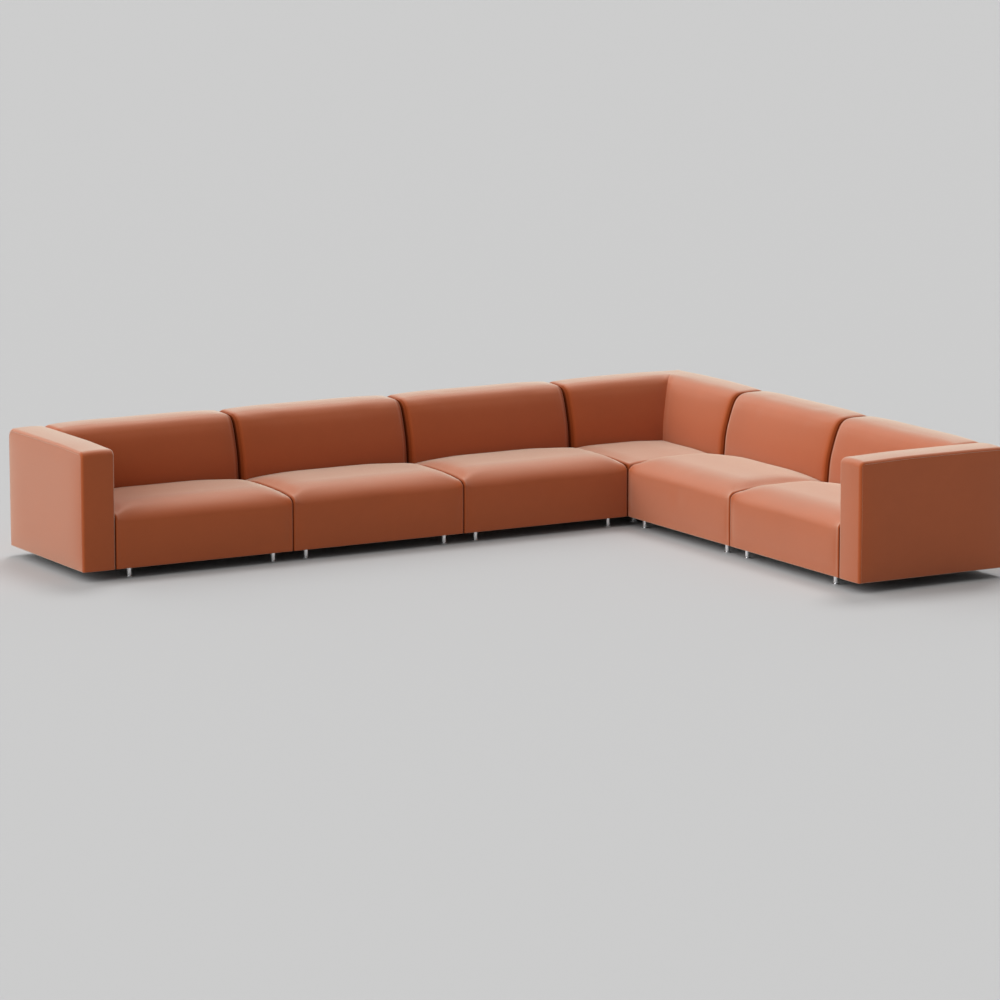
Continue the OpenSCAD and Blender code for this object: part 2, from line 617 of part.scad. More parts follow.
seat_cover_l1();
seat_cover_l2();
seat_cover_l3();
seat_cover_corner();
seat_cover_r1();
seat_cover_r2();
back_cover_l1();
back_cover_l2();
back_cover_l3();
back_cover_corner_left();
back_cover_corner_right();
back_cover_r1();
back_cover_r2();
arm_cover_left();
arm_cover_right();
seat_frame_l1();
seat_frame_l2();
seat_frame_l3();
seat_frame_corner();
seat_frame_r1();
seat_frame_r2();
back_frames();
arm_frames();
seat_foams();
back_foams();
arm_foams();
webbing_straps();
dust_covers();
foot_inserts();
link_bolts();
frame_bolts();
link_plate_l1_l2();
link_plate_l2_l3();
link_plate_l3_corner();
link_plate_corner_r1();
link_plate_r1_r2();
foot_l1_front_left();
foot_l1_front_right();
foot_l1_rear_left();
foot_l1_rear_right();
foot_l2_front_left();
foot_l2_front_right();
foot_l2_rear_left();
foot_l2_rear_right();
foot_l3_front_left();
foot_l3_front_right();
foot_l3_rear_left();
foot_l3_rear_right();
foot_corner_front_left();
foot_corner_front_right();
foot_corner_rear_left();
foot_corner_rear_right();
foot_r1_front_left();
foot_r1_front_right();
foot_r1_rear_left();
foot_r1_rear_right();
foot_r2_front_left();
foot_r2_front_right();
foot_r2_rear_left();
foot_r2_rear_right();
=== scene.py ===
import bpy, bmesh, math
import numpy as np
from mathutils import Matrix, Vector


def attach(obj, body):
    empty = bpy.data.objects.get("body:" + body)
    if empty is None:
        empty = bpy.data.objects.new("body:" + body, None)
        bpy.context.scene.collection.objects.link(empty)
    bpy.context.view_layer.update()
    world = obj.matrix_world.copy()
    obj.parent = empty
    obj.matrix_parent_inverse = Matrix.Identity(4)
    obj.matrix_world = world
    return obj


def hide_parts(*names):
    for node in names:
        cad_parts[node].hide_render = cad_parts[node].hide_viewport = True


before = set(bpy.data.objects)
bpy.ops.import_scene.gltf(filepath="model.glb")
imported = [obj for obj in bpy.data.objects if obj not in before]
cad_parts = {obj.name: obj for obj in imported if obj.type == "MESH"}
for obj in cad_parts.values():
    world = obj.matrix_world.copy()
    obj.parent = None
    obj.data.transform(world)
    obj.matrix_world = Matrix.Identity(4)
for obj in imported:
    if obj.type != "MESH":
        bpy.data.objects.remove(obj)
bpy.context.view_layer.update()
SCN = bpy.context.scene

# ---------------------------------------------------------------- camera
cam_data = bpy.data.cameras.new("camera")
cam_data.sensor_fit = "HORIZONTAL"
cam_data.sensor_width = 36.0
cam_data.lens = 171.25
cam_data.clip_start, cam_data.clip_end = 0.5, 600.0
camera = bpy.data.objects.new("camera", cam_data)
SCN.collection.objects.link(camera)
YAW, PITCH, ROLL = 0.5221067, 0.1738815, -0.0007659
fwd = Vector((math.sin(YAW) * math.cos(PITCH), math.cos(YAW) * math.cos(PITCH), -math.sin(PITCH)))
right = Vector((math.cos(YAW), -math.sin(YAW), 0.0))
up = right.cross(fwd)
r2 = math.cos(ROLL) * right + math.sin(ROLL) * up
u2 = -math.sin(ROLL) * right + math.cos(ROLL) * up
camera.matrix_world = Matrix(((r2.x, u2.x, -fwd.x, -12.4466), (r2.y, u2.y, -fwd.y, -21.6164), (r2.z, u2.z, -fwd.z, 4.7400), (0, 0, 0, 1)))
SCN.camera = camera

# ---------------------------------------------------------------- small helpers
def smooth(x, a, b):
    """0 at a, 1 at b, with flat ends."""
    t = np.clip((np.asarray(x, float) - a) / (b - a), 0.0, 1.0)
    return t * t * (3 - 2 * t)


def fit(xs, table):
    """A smooth curve through a short table of (x, y) pairs."""
    tx, ty = np.array([p[0] for p in table], float), np.array([p[1] for p in table], float)
    m = np.zeros(len(tx))
    s = np.diff(ty) / np.diff(tx)
    m[0], m[-1] = s[0], s[-1]
    for i in range(1, len(tx) - 1):
        m[i] = 0.0 if s[i - 1] * s[i] <= 0 else 2 * s[i - 1] * s[i] / (s[i - 1] + s[i])
    x = np.clip(np.asarray(xs, float), tx[0], tx[-1])
    k = np.clip(np.searchsorted(tx, x, side="right") - 1, 0, len(tx) - 2)
    h = tx[k + 1] - tx[k]
    t = (x - tx[k]) / h
    return ((2 * t**3 - 3 * t**2 + 1) * ty[k] + (t**3 - 2 * t**2 + t) * h * m[k]
            + (-2 * t**3 + 3 * t**2) * ty[k + 1] + (t**3 - t**2) * h * m[k + 1])


def spaced(a, b, n, ease=0.0):
    """n + 1 values from a to b, closer together at the ends when ease > 0."""
    t = np.linspace(0, 1, n + 1)
    return a + (b - a) * ((1 - ease) * t + ease * (3 * t**2 - 2 * t**3))


# ---------------------------------------------------------------- blocks: closed sections along u, with rolled ends and filled side panels
class Block:
    """Vertices (u, v, z) in mm, quads, and the grid that says which vertex is which."""


def normals2(P):
    """Outward normals of a closed section that runs front up, top back, rear down, bottom forward."""
    t = np.roll(P, -1, axis=0) - np.roll(P, 1, axis=0)
    n = np.column_stack([-t[:, 1], t[:, 0]])
    return n / np.maximum(np.linalg.norm(n, axis=1), 1e-9)[:, None]


def arc2(c, r, a0, a1, n):
    a = np.radians(np.linspace(a0, a1, n + 1))
    return np.column_stack([c[0] + r * np.cos(a), c[1] + r * np.sin(a)])


def line2(a, b, n, ease=0.0):
    t = spaced(0, 1, n, ease)[:, None]
    return np.array(a, float) + (np.array(b, float) - np.array(a, float)) * t


def joined(parts, nf, nt):
    """Joins the pieces of a section, leaving out the repeated points."""
    out = [parts[0]]
    for p in parts[1:]:
        out.append(p[1:])
    P = np.vstack(out)[:-1]
    assert len(P) == 2 * (nf + nt), (len(P), nf, nt)
    return P


def add_cap(idx_ring, r, nf, nt, flip, count, verts, quads):
    """Fills one end with a grid that blends its four sides."""
    M = len(idx_ring)
    grid = np.zeros((nt + 1, nf + 1), int)
    pos = np.zeros((nt + 1, nf + 1, 3))
    loc = np.zeros((nt + 1, nf + 1), int)
    for bb in range(nf + 1):
        loc[0, bb] = bb
        loc[nt, bb] = nf + nt + (nf - bb)
    for aa in range(nt + 1):
        loc[aa, nf] = nf + aa
        loc[aa, 0] = (2 * nf + nt + (nt - aa)) % M
    for aa in range(nt + 1):
        for bb in range(nf + 1):
            if aa in (0, nt) or bb in (0, nf):
                grid[aa, bb] = idx_ring[loc[aa, bb]]
                pos[aa, bb] = r[loc[aa, bb]]
    new = []
    for aa in range(1, nt):
        for bb in range(1, nf):
            x, y = aa / nt, bb / nf
            pos[aa, bb] = ((1 - x) * pos[0, bb] + x * pos[nt, bb] + (1 - y) * pos[aa, 0] + y * pos[aa, nf]
                           - (1 - x) * (1 - y) * pos[0, 0] - x * (1 - y) * pos[nt, 0]
                           - (1 - x) * y * pos[0, nf] - x * y * pos[nt, nf])
            grid[aa, bb] = count
            new.append(pos[aa, bb])
            count += 1
    verts.append(np.array(new))
    for aa in range(nt):
        for bb in range(nf):
            f = (grid[aa, bb], grid[aa + 1, bb], grid[aa + 1, bb + 1], grid[aa, bb + 1])
            quads.append(f[::-1] if not flip else f)
    return count, grid


def end_shape(P, roll):
    """The radius at each point of an end's edge, and how the section shrinks along it. The hem keeps its height."""
    N = normals2(P)
    r = roll(P, N)
    low = N[:, 1] < -0.3
    v0, v1 = P[:, 0].min(), P[:, 0].max()
    side = np.where(~low & (P[:, 1] < HEM + 120))[0]
    front, rear = side[P[side, 0] < (v0 + v1) / 2], side[P[side, 0] > (v0 + v1) / 2]
    rf, rr = r[front].mean(), r[rear].mean()
    t = (P[:, 0] - v0) / (v1 - v0)
    r = np.where(low, rf + (rr - rf) * t, r)
    E = np.column_stack([N[:, 0], np.clip(N[:, 1], 0, 1)])
    E /= np.maximum(np.linalg.norm(E, axis=1), 1e-6)[:, None]

    def inset(k):
        q = P - E * (r * k)[:, None]
        squeezed = v0 + rf * k + (P[:, 0] - v0) * (1 - (rf + rr) * k / (v1 - v0))
        q[low, 0] = squeezed[low]
        q[low, 1] = P[low, 1]
        return q

    return r, inset


def end_ring(u_end, sign, r, t, q):
    """One ring of a rounded end. Close to the end the hem lifts in a small round edge."""
    du = r * (1 - math.cos(t))
    k = np.clip(1 - du / HEM_R, 0, 1)
    z = np.maximum(q[:, 1], HEM + HEM_R * (1 - np.sqrt(1 - k * k)))
    return np.column_stack([u_end + sign * du, q[:, 0], z])


def sweep(section, roll, u0, u1, n_mid, nf, nt, n_roll=5, ease=0.35, diagonal=False):
    """section(u) gives the closed (v, z) loop at u. roll(P, N) gives the end's edge radius for each of its points.
    With diagonal the last ring lies in the plane u = v and stays open there."""
    th = np.radians(np.linspace(0, 90, n_roll + 1))
    rings = []
    P0 = section(u0)
    r0, inset0 = end_shape(P0, roll)
    reach = float(r0.max())
    for t in th[:-1]:
        rings.append(end_ring(u0, 1, r0, t, inset0(1 - math.sin(t))))
    if diagonal:
        for t in spaced(0, 1, n_mid, 0.0):
            t = 1 - (1 - t) ** 1.7
            P = section(u0 + reach + (u1 - u0 - reach) * t)
            rings.append(np.column_stack([(u0 + r0) * (1 - t) + P[:, 0] * t, P]))
    else:
        P1 = section(u1)
        r1, inset1 = end_shape(P1, roll)
        for t in spaced(0, 1, n_mid, ease):
            P = section(u0 + reach + (u1 - u0 - 2 * reach) * t)
            rings.append(np.column_stack([u0 + r0 + (u1 - r1 - u0 - r0) * t, P]))
        for t in th[:-1][::-1]:
            rings.append(end_ring(u1, -1, r1, t, inset1(1 - math.sin(t))))
    rings = np.array(rings)
    S, M = rings.shape[:2]
    idx = np.arange(S * M).reshape(S, M)
    verts, quads, count = [rings.reshape(-1, 3)], [], S * M
    for s in range(S - 1):
        for i in range(M):
            j = (i + 1) % M
            quads.append((idx[s, i], idx[s, j], idx[s + 1, j], idx[s + 1, i]))
    count, g0 = add_cap(idx[0], rings[0], nf, nt, False, count, verts, quads)
    if not diagonal:
        count, g1 = add_cap(idx[-1], rings[-1], nf, nt, True, count, verts, quads)
    blk = Block()
    blk.co = np.vstack(verts)
    blk.quads = np.array(quads)
    blk.idx, blk.S, blk.M, blk.nf, blk.nt = idx, S, M, nf, nt
    return blk


def outward(blk):
    """Turns the faces outward, judged by the closed form's signed volume."""
    a, b, c, d = (blk.co[blk.quads[:, i]] for i in range(4))
    vol = np.einsum("ij,ij->i", a, np.cross(b, c)).sum() + np.einsum("ij,ij->i", a, np.cross(c, d)).sum()
    if vol < 0:
        blk.quads = blk.quads[:, ::-1]
    return blk


# ---------------------------------------------------------------- the modules' shapes, mm, each in its own (u, v, z)
W, D = 1050.0, 930.0
HEM = 55.0            # underside of the leather
HEM_R = 4.0
BACK_V = 606.0        # foot of the back's front face, in the middle of a module
SEAT_V1 = BACK_V - 2.0

# height of the seat's top along its depth: at the ends, and in the middle of its width
SEAT_END = [(0, 347.0), (50, 352.0), (104, 359.0), (166, 363.5), (234, 366.5), (330, 368.5), (430, 368.5), (520, 362.0), (640, 343.0)]
SEAT_MID = [(0, 391.0), (100, 394.0), (200, 396.0), (320, 396.0), (430, 393.0), (520, 387.0), (640, 374.0)]
# how the height passes from the end's to the middle's, by distance from the end: at mid-depth, and at the rear
RISE_MID = [(12, 0.0), (20, 0.1), (40, 0.38), (60, 0.62), (80, 0.78), (110, 0.90), (150, 0.98), (210, 1.0), (600, 1.0)]
RISE_REAR = [(12, 0.0), (48, 0.27), (123, 0.58), (200, 0.80), (270, 0.94), (344, 1.0), (600, 1.0)]


def quarter(t):
    """Height along a quarter of an ellipse, 0 at t = 0 and 1 from t = 1 on."""
    return np.sqrt(np.clip(1 - (1 - np.clip(t, 0, 1)) ** 2, 0, 1))


# depth of a back's front face by height, in the middle of a module
BACK_FACE = [(330, 597.0), (385, 600.5), (438, 607.0), (493, 617.5), (548, 633.0), (603, 651.0), (640, 665.0), (672, 680.0)]


def back_mid(z):
    return fit(z, BACK_FACE)


def back_sag(e, z):
    """How far that face draws back towards a module's side."""
    x = max(0.0, 1.0 - e / 524.0)
    return x * x * (20.0 - 12.0 * np.clip((np.asarray(z, float) - 400.0) / 283.0, 0, 1))


def seat_height(e, v):
    """Height of the seat's top at distance e from the nearer end and depth v."""
    v = np.asarray(v, float)
    back = smooth(v, 380, 600)
    f = (1 - back) * fit(np.full(v.shape, e), RISE_MID) + back * fit(np.full(v.shape, e), RISE_REAR)
    end = 318 + (fit(v, SEAT_END) - 318) * quarter(v / 44.0)
    mid = 304 + (fit(v, SEAT_MID) - 304) * quarter(v / 180.0)
    return (1 - f) * end + f * mid, f


def block_section(v0, v1, roll, rr, nf, nt, zf=None):
    """Hem, plumb front up to the roll's first point, the roll and top as given, rear edge of radius rr, plumb rear, flat underside."""
    k = 4
    zr = roll[-1, 1]
    parts = [arc2((v0 + HEM_R, HEM + HEM_R), HEM_R, 225, 180, 2),
             line2((v0, HEM + HEM_R), roll[0], nf - 2 - 8),
             roll,
             arc2((v1 - rr, zr - rr), rr, 90, 45, k),
             arc2((v1 - rr, zr - rr), rr, 45, 0, k),
             line2((v1, zr - rr), (v1, HEM + HEM_R), nf - k - 2),
             arc2((v1 - HEM_R, HEM + HEM_R), HEM_R, 0, -45, 2),
             arc2((v1 - HEM_R, HEM + HEM_R), HEM_R, -45, -90, 2),
             line2((v1 - HEM_R, HEM), (v0 + HEM_R, HEM), nt - 4),
             arc2((v0 + HEM_R, HEM + HEM_R), HEM_R, 270, 225, 2)]
    return joined(parts, nf, nt)


def seat_section(e, nf, nt):
    f = float(seat_height(e, [20.0])[1][0])
    a = 44.0 + (180.0 - 44.0) * f
    v1 = float(back_mid(370.0) + back_sag(e, 370.0)) - 3.0
    rr = 16.0
    vr = a * (1 - np.cos(np.radians(np.linspace(0, 90, 17))))
    vt = np.concatenate([vr, np.linspace(a, v1 - rr, 8 + nt - 4 - 16 + 1)[1:]])
    return block_section(0.0, v1, np.column_stack([vt, seat_height(e, vt)[0]]), rr, nf, nt)


def seat_roll(P, N):
    r = 9 + (19 - 9) * np.clip(N[:, 1], 0, 1) ** 0.7
    w = smooth(P[:, 0], P[:, 0].max() - 130, P[:, 0].max() - 30)
    return r * (1 - w) + 12 * w


def recess_under(blk, u0, u1, v0, v1):
    """Lifts the underside inside its hem, where the dust cover closes it."""
    u, v, z = blk.co.T
    d = np.minimum(np.minimum(u - u0, u1 - u), np.minimum(v - v0, v1 - v))
    blk.co[:, 2] = np.where(z < HEM + 0.5, z + 5.5 * smooth(d, 8, 26), z)


def straight_seat():
    nf, nt = 24, 48
    blk = sweep(lambda u: seat_section(min(u - 1.0, 1049.0 - u), nf, nt), seat_roll, 1.0, 1049.0, 60, nf, nt, ease=0.5)
    u, v, z = blk.co.T.copy()
    h = np.clip((z - HEM) / (330 - HEM), 0, 1)
    x = np.clip((u - 1) / 1048, 0, 1)
    bow = (1 - (2 * x - 1) ** 8) * np.sin(np.pi * h) ** 0.8
    blk.co[:, 1] = v - 2.5 * bow * smooth(v, 80, 0)
    recess_under(blk, 1, 1049, 0, 600)
    return outward(blk)


def corner_height(u, v):
    return 369.5 - 11 * smooth(u, 360, 600) - 7 * smooth(u, 110, 0) - 8 * smooth(v, 260, 0) - 2 * smooth(v, 480, 600)


def corner_seat():
    nf, nt = 24, 44

    def section(u):
        v1, rr, a = 592.0, 16.0, 22.0
        vr = 1 + a * (1 - np.cos(np.radians(np.linspace(0, 90, 17))))
        vt = np.concatenate([vr, np.linspace(1 + a, v1 - rr, 8 + nt - 4 - 16 + 1)[1:]])
        z = corner_height(np.full(vt.shape, u), vt) - a * (1 - quarter((vt - 1) / a))
        return block_section(1.0, v1, np.column_stack([vt, z]), rr, nf, nt)

    blk = sweep(section, seat_roll, 1.0, 592.0, 36, nf, nt)
    recess_under(blk, 1, 592, 1, 592)
    return outward(blk)


# how far a back's top falls towards a module's side
BACK_FALL = [(0, 12.0), (30, 9.0), (80, 5.0), (150, 2.0), (260, 0.0), (700, 0.0)]
BACK_TOP, BACK_END_V, BACK_REAR_R = 715.0, 930.0, 62.0


def back_section(e, nf, nt):
    """Hem, plumb foot, a face that leans further and further back, a full round top edge, a big round rear edge, a plumb rear."""
    k, n_low = 5, 6
    n_arc = nf - 2 - n_low - k
    lean, rt, z_foot = 25.1, 75.0, 330.0
    z_arc = BACK_TOP - rt + rt * math.sin(math.radians(lean))
    zc = spaced(z_foot, z_arc, n_arc, 0.0)
    face = np.column_stack([back_mid(zc) + back_sag(e, zc), zc])
    cv, cz = face[-1, 0] + rt * math.cos(math.radians(lean)), BACK_TOP - rt
    mid = (180 - lean + 90) / 2
    rr, v1 = BACK_REAR_R, BACK_END_V
    parts = [arc2((face[0, 0] + HEM_R, HEM + HEM_R), HEM_R, 225, 180, 2),
             line2((face[0, 0], HEM + HEM_R), face[0], n_low),
             face,
             arc2((cv, cz), rt, 180 - lean, mid, k),
             arc2((cv, cz), rt, mid, 90, k),
             line2((cv, BACK_TOP), (v1 - rr, BACK_TOP), nt - 2 * k),
             arc2((v1 - rr, BACK_TOP - rr), rr, 90, 45, k),
             arc2((v1 - rr, BACK_TOP - rr), rr, 45, 0, k),
             line2((v1, BACK_TOP - rr), (v1, HEM + HEM_R), nf - k - 2),
             arc2((v1 - HEM_R, HEM + HEM_R), HEM_R, 0, -45, 2),
             arc2((v1 - HEM_R, HEM + HEM_R), HEM_R, -45, -90, 2),
             line2((v1 - HEM_R, HEM), (face[0, 0] + HEM_R, HEM), nt - 4),
             arc2((face[0, 0] + HEM_R, HEM + HEM_R), HEM_R, 270, 225, 2)]
    P = joined(parts, nf, nt)
    P[:, 1] -= float(fit([e], BACK_FALL)[0]) * smooth(P[:, 1], 420, 700)
    return P


def back_roll(P, N):
    front = np.clip(-N[:, 0], 0, 1)
    rear = np.clip(N[:, 0], 0, 1)
    return 28 + 8 * front ** 0.8 - 12 * rear ** 0.8


def straight_back():
    nf, nt = 38, 20
    blk = sweep(lambda u: back_section(min(u - 1.0, 1049.0 - u), nf, nt), back_roll, 1.0, 1049.0, 52, nf, nt, n_roll=7, ease=0.3)
    recess_under(blk, 1, 1049, 600, 930)
    return outward(blk)


def corner_back():
    """Both halves of the corner's back as one closed form. They meet along the plane u = v, in a crisp inner crease."""
    nf, nt = 38, 20
    half = sweep(lambda u: back_section(min(u - 1.0, 620.0), nf, nt), back_roll, 1.0, 620.0, 40, nf, nt, n_roll=7, diagonal=True)
    last = set(half.idx[-1].tolist())
    n = len(half.co)
    swap = np.arange(n)
    keep = np.array([i for i in range(n) if i not in last])
    swap[keep] = n + np.arange(len(keep))
    half.co[half.idx[-1], 0] = half.co[half.idx[-1], 1]
    blk = Block()
    blk.co = np.vstack([half.co, half.co[keep][:, [1, 0, 2]]])
    blk.quads = np.vstack([half.quads, swap[half.quads][:, ::-1]])
    u, v, z = blk.co.T.copy()
    z = z - (3.0 + 6.0 * smooth(np.minimum(u, v), 560, 930)) * smooth(z, 420, 700)
    R = 9.0 + 52.0 * smooth(z, 80, 620)
    a, b = np.clip((u - (930 - R)) / R, 0, 1), np.clip((v - (930 - R)) / R, 0, 1)
    both = (a > 0) & (b > 0)
    un, vn = 930 - R + R * a * np.sqrt(1 - b * b / 2), 930 - R + R * b * np.sqrt(1 - a * a / 2)
    u, v = np.where(both, un, u), np.where(both, vn, v)
    blk.co = np.column_stack([u, v, z])
    blk.idx, blk.S, blk.M, blk.nf, blk.nt = half.idx, half.S, half.M, nf, nt
    return outward(blk)


def arm():
    """The left arm: its outer side is at u = -190, its inner side at u = -1."""
    nf, nt = 34, 50
    k = 6
    rf, rr, zt = 34.0, 50.0, 700.0
    n_f = nf - 2 - k
    P = joined([arc2((HEM_R, HEM + HEM_R), HEM_R, 225, 180, 2),
                line2((0, HEM + HEM_R), (0, zt - rf), n_f),
                arc2((rf, zt - rf), rf, 180, 135, k),
                arc2((rf, zt - rf), rf, 135, 90, k),
                line2((rf, zt), (930 - rr, zt), nt - 2 * k),
                arc2((930 - rr, zt - rr), rr, 90, 45, k),
                arc2((930 - rr, zt - rr), rr, 45, 0, k),
                line2((930, zt - rr), (930, HEM + HEM_R), nf - k - 2),
                arc2((930 - HEM_R, HEM + HEM_R), HEM_R, 0, -45, 2),
                arc2((930 - HEM_R, HEM + HEM_R), HEM_R, -45, -90, 2),
                line2((930 - HEM_R, HEM), (HEM_R, HEM), nt - 4),
                arc2((HEM_R, HEM + HEM_R), HEM_R, 270, 225, 2)], nf, nt)

    def roll(P, N):
        return np.full(len(P), 14.0)

    blk = sweep(lambda u: P, roll, -190.0, -1.0, 12, nf, nt, n_roll=7)
    u, v, z = blk.co.T.copy()
    x = np.clip((u + 190) / 189, 0, 1)
    across = 1 - (2 * x - 1) ** 2
    high = smooth(z, 560, 700)
    z = z + 5.0 * across * smooth(z, 640, 690) - high * (7.0 * smooth(v, 330, 0) + 2.0 * smooth(v, 700, 930))
    y, h = np.clip(v / 930, 0, 1), np.clip((z - HEM) / 640, 0, 1)
    v = v - 3.0 * across * smooth(v, 60, 0) + 3.0 * across * smooth(v, 870, 930)
    full = (1 - (2 * y - 1) ** 8) * (1 - (2 * h - 1) ** 6)
    u = u - 10.0 * full * smooth(x, 0.25, 0.0)
    blk.co = np.column_stack([u, v, z])
    recess_under(blk, -190, -1, 0, 930)
    return outward(blk)


# ---------------------------------------------------------------- placing the modules in the row frame, mm -> m
def at_long(k):
    return lambda c: np.column_stack([-1945 + k * 1050 + c[:, 0], 680 + c[:, 1], c[:, 2]]) / 1000


def at_short(k):
    return lambda c: np.column_stack([1205 + c[:, 1], 680 - (k * 1050 + c[:, 0]), c[:, 2]]) / 1000


def at_short_back(k):
    return lambda c: at_short(k)(c - np.outer(4.5 * smooth(c[:, 2], 420, 700), [0, 0, 1]))


def at_corner(c):
    return np.column_stack([1205 + c[:, 0], 680 + c[:, 1], c[:, 2]]) / 1000


def arm_left(c):
    return np.column_stack([-1945 + c[:, 0], 680 + c[:, 1], c[:, 2]]) / 1000


def arm_right(c):
    # the same arm turned round, so that its inner side faces the last short-wing module
    return np.column_stack([1205 + c[:, 1], 680 - (2100 - c[:, 0]), c[:, 2]]) / 1000


def make_mesh(name, blk, place):
    co = place(blk.co)
    quads = blk.quads
    a, b, c, d = (co[quads[:, i]] for i in range(4))
    vol = np.einsum("ij,ij->i", a, np.cross(b, c)).sum() + np.einsum("ij,ij->i", a, np.cross(c, d)).sum()
    if vol < 0:
        quads = quads[:, ::-1]
    me = bpy.data.meshes.new(name)
    me.from_pydata(co.tolist(), [], quads.tolist())
    me.update()
    me.validate()
    me.polygons.foreach_set("use_smooth", [True] * len(me.polygons))
    ob = bpy.data.objects.new(name, me)
    SCN.collection.objects.link(ob)
    return ob


# ---------------------------------------------------------------- materials
def new_material(name):
    m = bpy.data.materials.new(name)
    m.use_nodes = True
    nt = m.node_tree
    nt.nodes.clear()
    out = nt.nodes.new("ShaderNodeOutputMaterial")
    p = nt.nodes.new("ShaderNodeBsdfPrincipled")
    nt.links.new(p.outputs[0], out.inputs[0])
    return m, nt, p


def node(nt, kind, **kw):
    n = nt.nodes.new(kind)
    for k, v in kw.items():
        if k in n.inputs:
            n.inputs[k].default_value = v
        else:
            setattr(n, k, v)
    return n


def leather(name, gloss=1.0, tone=1.0):
    m, nt, p = new_material(name)
    L = nt.links.new
    tc = node(nt, "ShaderNodeTexCoord")
    big = node(nt, "ShaderNodeTexNoise", Scale=2.6, Detail=3.0, Roughness=0.5)
    mid = node(nt, "ShaderNodeTexNoise", Scale=19.0, Detail=4.0, Roughness=0.55)
    L(tc.outputs["Object"], big.inputs["Vector"])
    L(tc.outputs["Object"], mid.inputs["Vector"])
    ramp = node(nt, "ShaderNodeValToRGB")
    ramp.color_ramp.elements[0].position, ramp.color_ramp.elements[1].position = 0.3, 0.7
    # tone below 1 darkens the base colour: painted shade on the rolled edges, seams and side panels
    ramp.color_ramp.elements[0].color = (0.380 * tone, 0.0735 * tone, 0.0170 * tone, 1)
    ramp.color_ramp.elements[1].color = (0.415 * tone, 0.0815 * tone, 0.0195 * tone, 1)
    mixn = node(nt, "ShaderNodeMath", operation="MULTIPLY_ADD")
    L(mid.outputs["Fac"], mixn.inputs[0])
    mixn.inputs[1].default_value = 0.35
    scaled = node(nt, "ShaderNodeMath", operation="MULTIPLY")
    L(big.outputs["Fac"], scaled.inputs[0])
    scaled.inputs[1].default_value = 0.65
    L(scaled.outputs[0], mixn.inputs[2])
    L(mixn.outputs[0], ramp.inputs["Fac"])
    L(ramp.outputs["Color"], p.inputs["Base Color"])
    rough = node(nt, "ShaderNodeMapRange")
    rough.inputs["To Min"].default_value, rough.inputs["To Max"].default_value = 0.40, 0.50
    L(mid.outputs["Fac"], rough.inputs["Value"])
    L(rough.outputs["Result"], p.inputs["Roughness"])
    grain = node(nt, "ShaderNodeTexVoronoi", Scale=520.0, feature="DISTANCE_TO_EDGE")
    warp = node(nt, "ShaderNodeTexNoise", Scale=90.0, Detail=3.0)
    L(tc.outputs["Object"], grain.inputs["Vector"])
    L(tc.outputs["Object"], warp.inputs["Vector"])
    add = node(nt, "ShaderNodeMath", operation="MULTIPLY_ADD")
    L(warp.outputs["Fac"], add.inputs[0])
    add.inputs[1].default_value = 1.2
    L(grain.outputs["Distance"], add.inputs[2])
    bump = node(nt, "ShaderNodeBump", Strength=0.25, Distance=0.0006)
    L(add.outputs[0], bump.inputs["Height"])
    L(bump.outputs[0], p.inputs["Normal"])
    p.inputs["IOR"].default_value = 1.28
    p.inputs["Specular IOR Level"].default_value = 0.5 * gloss
    p.inputs["Sheen Weight"].default_value = 0.91 * gloss
    p.inputs["Sheen Roughness"].default_value = 0.49
    p.inputs["Sheen Tint"].default_value = (0.95, 0.95, 0.80, 1)
    p.inputs["Specular Tint"].default_value = (1.0, 0.50, 0.20, 1)
    return m


def plain(name, col, rough, metal=0.0, scale=60.0, vary=0.08, bump=0.15, dist=0.0005):
    """A finish with a slight change of tone and roughness and a fine relief."""
    m, nt, p = new_material(name)
    L = nt.links.new
    tc = node(nt, "ShaderNodeTexCoord")
    n1 = node(nt, "ShaderNodeTexNoise", Scale=scale, Detail=4.0)
    L(tc.outputs["Object"], n1.inputs["Vector"])
    ramp = node(nt, "ShaderNodeValToRGB")
    ramp.color_ramp.elements[0].position, ramp.color_ramp.elements[1].position = 0.3, 0.7
    ramp.color_ramp.elements[0].color = tuple(c * (1 - vary) for c in col) + (1,)
    ramp.color_ramp.elements[1].color = tuple(min(1, c * (1 + vary)) for c in col) + (1,)
    L(n1.outputs["Fac"], ramp.inputs["Fac"])
    L(ramp.outputs["Color"], p.inputs["Base Color"])
    mr = node(nt, "ShaderNodeMapRange")
    mr.inputs["To Min"].default_value, mr.inputs["To Max"].default_value = rough * 0.85, min(1, rough * 1.15)
    L(n1.outputs["Fac"], mr.inputs["Value"])
    L(mr.outputs["Result"], p.inputs["Roughness"])
    p.inputs["Metallic"].default_value = metal
    b = node(nt, "ShaderNodeBump", Strength=bump, Distance=dist)
    L(n1.outputs["Fac"], b.inputs["Height"])
    L(b.outputs[0], p.inputs["Normal"])
    return m


# the rubbed gloss of the outer faces fades out over the rolled edges; the leather is also painted darker there, more
# and more towards the side panels, which face a neighbour and are dull, with the darkest painted shade
LEATHERS = [leather("leather_terracotta"), leather("leather_terracotta_roll_painted_shade", 0.6, 0.9), leather("leather_terracotta_seam_painted_shade", 0.25, 0.68),
            leather("leather_terracotta_side_painted_shade", 0.0, 0.42), leather("leather_terracotta_end", 0.5)]
LEATHER = LEATHERS[0]
SEAM = plain("leather_seam", (0.30, 0.055, 0.018), 0.75, 0.0, 90, 0.10)
for node_ in SEAM.node_tree.nodes:
    if node_.type == "BSDF_PRINCIPLED":
        node_.inputs["Specular IOR Level"].default_value = 0.2
CHROME = plain("chrome", (0.90, 0.91, 0.92), 0.26, 1.0, 300, 0.02, 0.05, 0.0001)
ZINC = plain("zinc_steel", (0.55, 0.56, 0.57), 0.38, 1.0, 180, 0.10, 0.1, 0.0002)
TIMBER = plain("timber", (0.52, 0.36, 0.20), 0.65, 0.0, 30, 0.15)
FOAM = plain("foam", (0.80, 0.76, 0.60), 0.95, 0.0, 400, 0.06)
